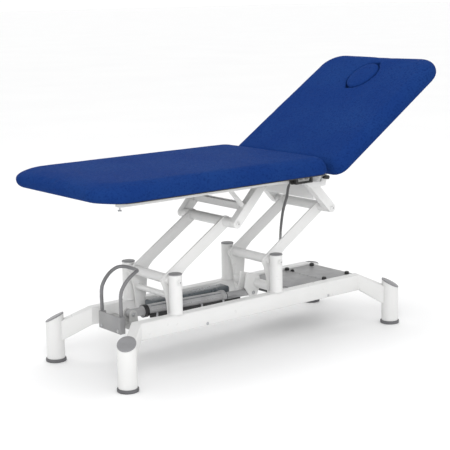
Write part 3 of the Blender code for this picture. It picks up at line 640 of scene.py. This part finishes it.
def make_tube_lines():
    """Bright and dark lines along the extruded tube."""
    for i, angle in enumerate((-75, -35, 20)):
        out = ABOVE * cos(radians(angle)) + Vector((0, sin(radians(angle)), 0))
        path = [REAR_PIN + ALONG * reach + out * 0.0216 for reach in (0.085, 0.415)]
        line = sweep(bmesh.new(), path, 0.0013, 12)
        piece_from(f"actuator_groove_{i}", line, MOTOR if i else STEEL,
                   ACTUATOR)


def make_switch_bar():
    """The switch profile on the near side of the tube, held by four clips."""
    aim = Matrix.Translation(REAR_PIN) @ Matrix((ALONG, (0, 1, 0), ABOVE)).transposed().to_4x4()
    block("switch_bar", (0.070, 0.500), (-0.0305, -0.0240), (-0.0215, -0.0060), 0.0012, BLACK,
          ACTUATOR, aim)
    for i in range(4):
        x = 0.095 + 0.105 * i
        block(f"switch_clip_{i}", (x, x + 0.009), (-0.0316, -0.0235), (-0.0225, -0.0050), 0.0006,
              STEEL, ACTUATOR, aim)


def make_pin_heads():
    for side, sign in SIDES.items():
        for name, pin, reach, body in (("rear_pin_", REAR_PIN, 0.0228, "base"),
                                       ("front_pin_", LEVER_PIN, 0.0231, "arms_head")):
            screw(name + side, pin + Vector((0, sign * reach, 0)), (0, sign, 0), 0.0060, body)


# ---------------------------------------------------------------- handset cord
CORD_ROUTE = [(0.1450, -0.1970, 0.6320), (0.1360, -0.1965, 0.6240), (0.1365, -0.1900, 0.6080),
              (0.1430, -0.1780, 0.5800), (0.1560, -0.1500, 0.5450), (0.1720, -0.1200, 0.5050),
              (0.1850, -0.0970, 0.4600), (0.1885, -0.0880, 0.4250), (0.1895, -0.0835, 0.3900),
              (0.1830, -0.0785, 0.3560), (0.1660, -0.0760, 0.3369), (0.1459, -0.0760, 0.3333)]
GLAND = ((0.1284, -0.0760, 0.3302), (0.1454, -0.0760, 0.3332))
CORD_R = 0.0055              # outside of the coil
WIRE_R = 0.0016
COIL_PITCH = 0.0042
TURN_POINTS = 14             # points on each turn of the coil
LEAD = 0.012                 # straight stretch at each end of the coil


def helix(route):
    """Points of a wire coiled round the route, with short straight leads at its ends."""
    along = [0.0]
    for a, b in zip(route, route[1:]):
        along.append(along[-1] + (b - a).length)
    total = along[-1]
    count = int(total / COIL_PITCH * TURN_POINTS)
    xyz = np.array([tuple(p) for p in route])
    normal = None
    points = []
    for i in range(count + 1):
        s = total * i / count
        here = Vector([np.interp(s, along, xyz[:, k]) for k in range(3)])
        near = Vector([np.interp(min(s + 0.002, total), along, xyz[:, k]) for k in range(3)])
        back = Vector([np.interp(max(s - 0.002, 0.0), along, xyz[:, k]) for k in range(3)])
        tangent = (near - back).normalized()
        normal = tangent.orthogonal() if normal is None else normal
        normal = (normal - tangent * normal.dot(tangent)).normalized()
        ease = min(1.0, min(s, total - s) / LEAD)
        turn = 2 * pi * i / TURN_POINTS
        reach = (CORD_R - WIRE_R) * ease * ease * (3 - 2 * ease)
        points.append(here + (normal * cos(turn) + tangent.cross(normal) * sin(turn)) * reach)
    return points


def make_gland():
    """Ribbed boot where the cord meets the lower tube."""
    low, high = (Vector((BASE_X + x, y, z)) for x, y, z in GLAND)
    boot = turned(bmesh.new(), [(0.0, -0.004), (0.0085, -0.004), (0.0085, 0.0035), (0.0074, 0.0050),
                                (0.0074, 0.0080), (0.0060, 0.0086), (0.0068, 0.0102),
                                (0.0056, 0.0112), (0.0062, 0.0128), (0.0050, 0.0138),
                                (0.0056, 0.0154), (0.0, 0.0168)], low, high - low, 28)
    gland = piece_from("gland_boot", boot, BLACK, "arms_head")
    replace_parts(gland, "cord_gland")
    return gland


def make_relief(start):
    """Ribbed sleeve where the cord leaves the handset's holder."""
    root = Vector((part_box("handset_cradle")[0].x, start.y, start.z))
    sleeve = turned(bmesh.new(), [(0.0, -0.002), (0.0068, -0.002), (0.0068, 0.0022),
                                  (0.0058, 0.0030), (0.0063, 0.0046), (0.0052, 0.0054),
                                  (0.0057, 0.0070), (0.0046, 0.0080), (0.0, 0.0092)],
                    root, start - root, 24)
    return piece_from("handset_relief", sleeve, BLACK, "top")


def make_cord():
    """The coiled cord from the handset's holder to the lower tube."""
    route = smooth_route([(BASE_X + x, y, z) for x, y, z in CORD_ROUTE], 8)
    wire = helix(route)
    start, end = route[0], route[-1]
    cord = piece_from("handset_cord", sweep(bmesh.new(), wire, WIRE_R, 8), CORD, None)
    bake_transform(cord)
    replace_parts(cord, "curly_cord")
    make_gland()
    make_relief(start)


# ---------------------------------------------------------------- upholstery
CLOTH_FRAMES = 20
SEAT_BOW = 0.034             # how far the seat's foot corners are pulled in
BOW_REACH = 0.30             # over this length from the foot end
LIP_REACH = 0.16             # length over which the foot end's widest line comes down
BOARD_BOW = SEAT_BOW * 1.15
BOARD_TAPER = 0.036          # how far the seat's board stops short of the foot end
NOTCH_TURN = radians(20)     # from the backrest's centre line to the finger notches


def bowed(x, y, low, half, bow):
    """x with the corners of the foot end pulled in; low is that end and half its half width."""
    return x + bow * (y / half) ** 2 * max(0.0, 1 - (x - low) / BOW_REACH)


def rounded_outline(x0, x1, half, radii, steps=14):
    """The pad's outline in plan, corners rounded by a radius for each end."""
    points = []
    for sx, sy, first in ((1, 1, 0), (-1, 1, 90), (-1, -1, 180), (1, -1, 270)):
        radius = radii[sx]
        cx = (x1 if sx > 0 else x0) - sx * radius
        cy = sy * (half - radius)
        for i in range(steps + 1):
            angle = radians(first + 90 * i / steps)
            points.append((cx + radius * cos(angle), cy + radius * sin(angle)))
    return points


def pad_form(low, high, radii, rolls, tucks, lip, bow=0.0, foot_lip=0.0):
    """A slab whose rim is one soft roll from its underside to its top.

    rolls and tucks give the widths of the upper and the under roll at the foot end, the head
    end and the sides. lip is the height of the widest line, foot_lip what it gains at the
    foot end, and bow is how far the foot end's corners are pulled in.
    """
    bm = bmesh.new()
    tall = high.z - low.z
    turns = [(1 - sin(a), 1 - cos(a), False) for a in np.linspace(0, pi / 2, 6)]
    turns += [(1 - cos(a), sin(a), True) for a in np.linspace(0.13, pi / 2, 12)]
    rings = []
    for inward, upward, above in turns:
        foot, head, side = (width * inward for width in (rolls if above else tucks))
        inner = {end: max(r - side, 0.012) for end, r in radii.items()}
        ring = []
        for x, y in rounded_outline(low.x + foot, high.x - head, high.y - side, inner):
            edge = lip + foot_lip * min(1.0, max(0.0, 1 - (x - low.x) / LIP_REACH))
            h = edge + (tall - edge) * upward if above else edge * upward
            ring.append(bm.verts.new((bowed(x, y, low.x, high.y, bow), y, low.z + h)))
        rings.append(ring)
    skin(bm, rings)
    bmesh.ops.recalc_face_normals(bm, faces=bm.faces)
    return bm


def mesh_object(name, bm):
    mesh = bpy.data.meshes.new(name)
    bm.to_mesh(mesh)
    bm.free()
    obj = bpy.data.objects.new(name, mesh)
    bpy.context.scene.collection.objects.link(obj)
    return obj


def apply_all(obj):
    """Put the evaluated modifiers into the object's own mesh."""
    graph = bpy.context.evaluated_depsgraph_get()
    mesh = bpy.data.meshes.new_from_object(obj.evaluated_get(graph))
    obj.modifiers.clear()
    obj.data = mesh


def cut_with(obj, cutter):
    step = obj.modifiers.new("cut", "BOOLEAN")
    step.operation = "DIFFERENCE"
    step.solver = "EXACT"
    step.object = cutter
    apply_all(obj)
    bpy.data.objects.remove(cutter)


def points_of(mesh):
    co = np.empty(len(mesh.vertices) * 3)
    mesh.vertices.foreach_get("co", co)
    return co.reshape(-1, 3)


def run_cloth(obj, pressure):
    """Blow the mesh up as a cloth under pressure, and keep the shape it ends in."""
    cloth = obj.modifiers.new("cloth", "CLOTH")
    settings = cloth.settings
    settings.quality = 5
    settings.mass = 0.4
    settings.tension_stiffness = 40
    settings.compression_stiffness = 40
    settings.shear_stiffness = 20
    settings.bending_stiffness = 4
    settings.use_pressure = True
    settings.uniform_pressure_force = pressure
    settings.effector_weights.gravity = 0.0
    cloth.collision_settings.use_self_collision = False
    cloth.point_cache.frame_start = 1
    cloth.point_cache.frame_end = CLOTH_FRAMES
    for number in range(1, CLOTH_FRAMES + 1):
        bpy.context.scene.frame_set(number)
    apply_all(obj)
    bpy.context.scene.frame_set(1)


def inflate(obj, voxel, pressure, cap, floor_z, free=None):
    """Let the cover swell like stuffed fabric, by cap at most, then smooth it.

    free, a function of the points, is 0 where the cover is held down and 1 where it is not.
    """
    remesh = obj.modifiers.new("even", "REMESH")
    remesh.mode = "VOXEL"
    remesh.voxel_size = voxel
    apply_all(obj)
    start = points_of(obj.data).copy()
    run_cloth(obj, pressure)
    moved = points_of(obj.data) - start
    far = np.linalg.norm(moved, axis=1, keepdims=True)
    moved *= np.minimum(1.0, cap / np.maximum(far, 1e-9))
    held = np.clip((start[:, 2:3] - floor_z - 0.004) / 0.020, 0.0, 1.0)
    if free:
        held = held * free(start)[:, None]
    start = start + moved * held
    start[:, 2] = np.maximum(start[:, 2], floor_z)
    obj.data.vertices.foreach_set("co", start.ravel())
    smooth = obj.modifiers.new("even", "SMOOTH")
    smooth.factor = 0.5
    smooth.iterations = 6
    apply_all(obj)
    split = obj.modifiers.new("fine", "SUBSURF")
    split.levels = split.render_levels = 1
    apply_all(obj)
    co = points_of(obj.data)
    co[:, 2] = np.maximum(co[:, 2], floor_z)
    obj.data.vertices.foreach_set("co", co.ravel())
    return obj


def dress_pad(obj, name, body, node):
    """Vinyl, and all that the frame has to know of a padded piece."""
    obj.name = obj.data.name = name
    obj.data.materials.clear()
    obj.data.materials.append(VINYL)
    obj.data.shade_smooth()
    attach(obj, body)
    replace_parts(obj, node)


def make_seat_pad():
    """The seat's cushion, and its board drawn in to follow the bowed foot end."""
    low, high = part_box("seat_cushion")
    bm = pad_form(low + Vector((-0.006, 0.002, 0)), high - Vector((0.002, 0.003, 0.0015)),
                  {-1: 0.100, 1: 0.070}, (0.100, 0.050, 0.055), (0.042, 0.010, 0.011), 0.012,
                  SEAT_BOW, 0.020)
    pad = inflate(mesh_object("seat_pad", bm), 0.0060, 2.0, 0.006, low.z)
    dress_pad(pad, "seat_pad", "top", "seat_cushion")
    board = refined("seat_board", 0.0015)
    for vertex in board.data.vertices:
        x, y = vertex.co.x, vertex.co.y
        near_foot = max(0.0, 1 - (x - low.x) / BOW_REACH)
        vertex.co.x = bowed(x, y, low.x, high.y, BOARD_BOW) + BOARD_TAPER * near_foot


def raise_up(obj):
    """Turn a piece made with the backrest flat up to the rest angle."""
    turn = (Matrix.Translation(HINGE) @ Matrix.Rotation(-RECLINE, 4, "Y")
            @ Matrix.Translation(-HINGE))
    obj.data.transform(turn)


def in_flat(points):
    """Points of the raised backrest, as they are when it lies flat."""
    c, s = cos(RECLINE), sin(RECLINE)
    x, z = points[:, 0] - HINGE.x, points[:, 2] - HINGE.z
    return np.stack([HINGE.x + x * c + z * s, points[:, 1], HINGE.z - x * s + z * c], axis=1)


def flat_box(node):
    flat = in_flat(points_of(NODES[node].data))
    return Vector(flat.min(0)), Vector(flat.max(0))


def oval(name, centre, a, b, layers, sides=72):
    """An upright oval solid: layers are (share of its half sizes a and b, height) upwards."""
    bm = bmesh.new()
    turns = [2 * pi * i / sides for i in range(sides)]
    rings = [[bm.verts.new((centre.x + a * share * cos(t), centre.y + b * share * sin(t), z))
              for t in turns] for share, z in layers]
    return mesh_object(name, skin(bm, rings))


def face_hole():
    """Centre and half sizes of the hole, with the backrest flat: the plug's, and a little more."""
    low, high = flat_box("face_plug")
    half = (high - low) / 2
    return (low + high) / 2, half.x + 0.0012, half.y + 0.0040


def make_back_pad():
    """The backrest's cushion with the face hole and its two finger notches, and its board."""
    low, high = flat_box("backrest_cushion")
    centre, a, b = face_hole()
    bm = pad_form(low + Vector((0.002, 0.002, 0)), high - Vector((0.004, 0.004, 0.0025)),
                  {-1: 0.055, 1: 0.100}, (0.038, 0.055, 0.052), (0.014, 0.022, 0.026), 0.024)
    pad = mesh_object("back_pad", bm)
    cut_with(pad, oval("hole", centre, a, b, [(1.0, low.z - 0.05), (1.0, high.z + 0.05)]))
    for sign in (-1, 1):
        notch = centre + Vector((a * cos(NOTCH_TURN), -b * sin(NOTCH_TURN), 0)) * sign
        notch_layers = [(1.0, high.z - 0.022), (1.0, high.z + 0.05)]
        cut_with(pad, oval("notch", notch, 0.0095, 0.0120, notch_layers, 32))

    def away_from_hole(points):
        reach = np.hypot((points[:, 0] - centre.x) / a, points[:, 1] / b)
        return np.clip((reach - 1.10) / 1.3, 0.0, 1.0)

    inflate(pad, 0.0055, 2.0, 0.0035, low.z, away_from_hole)
    raise_up(pad)
    dress_pad(pad, "back_pad", "backrest", "backrest_cushion")
    board = refined("backrest_board", 0.0015)
    for vertex in board.data.vertices:
        vertex.co.y *= 0.955


def make_plug():
    """The oval plug, narrow where it stands in the board's opening, domed on top."""
    centre, a, b = face_hole()
    low = flat_box("face_plug")[0].z
    top = flat_box("backrest_cushion")[1].z + 0.0015
    layers = [(0.90, low), (0.92, low + 0.010), (1.0, low + 0.016), (1.0, top - 0.012),
              (0.985, top - 0.006), (0.95, top - 0.0022), (0.88, top - 0.0004), (0.6, top + 0.0010)]
    plug = oval("plug", centre, a - 0.0030, b - 0.0030, layers, 64)
    inflate(plug, 0.004, 1.0, 0.0012, low)
    raise_up(plug)
    dress_pad(plug, "hole_plug", "face_plug", "face_plug")


# ---------------------------------------------------------------- assembly
make_camera()
make_stage()
make_cord()
make_seat_pad()
make_back_pad()
make_plug()
for side in SIDES:
    for end in ENDS:
        make_leg(f"{side}_{end}")
        make_post(f"{side}_{end}")
for end in ENDS:
    for level, seat in PIN_SEAT.items():
        make_pin(f"{level}_shaft_{end}", seat)
make_cover_plate()
make_cover_fittings()
for number in range(1, 5):
    make_buffer(f"buffer_{number}")
make_screws()
make_welds()
make_frame_stop()
make_collars()
make_tube_lines()
make_switch_bar()
make_pin_heads()
for node in sorted(NODES):
    if not NODES[node].hide_render:
        refined(node, look=OWN_LOOK.get(node))
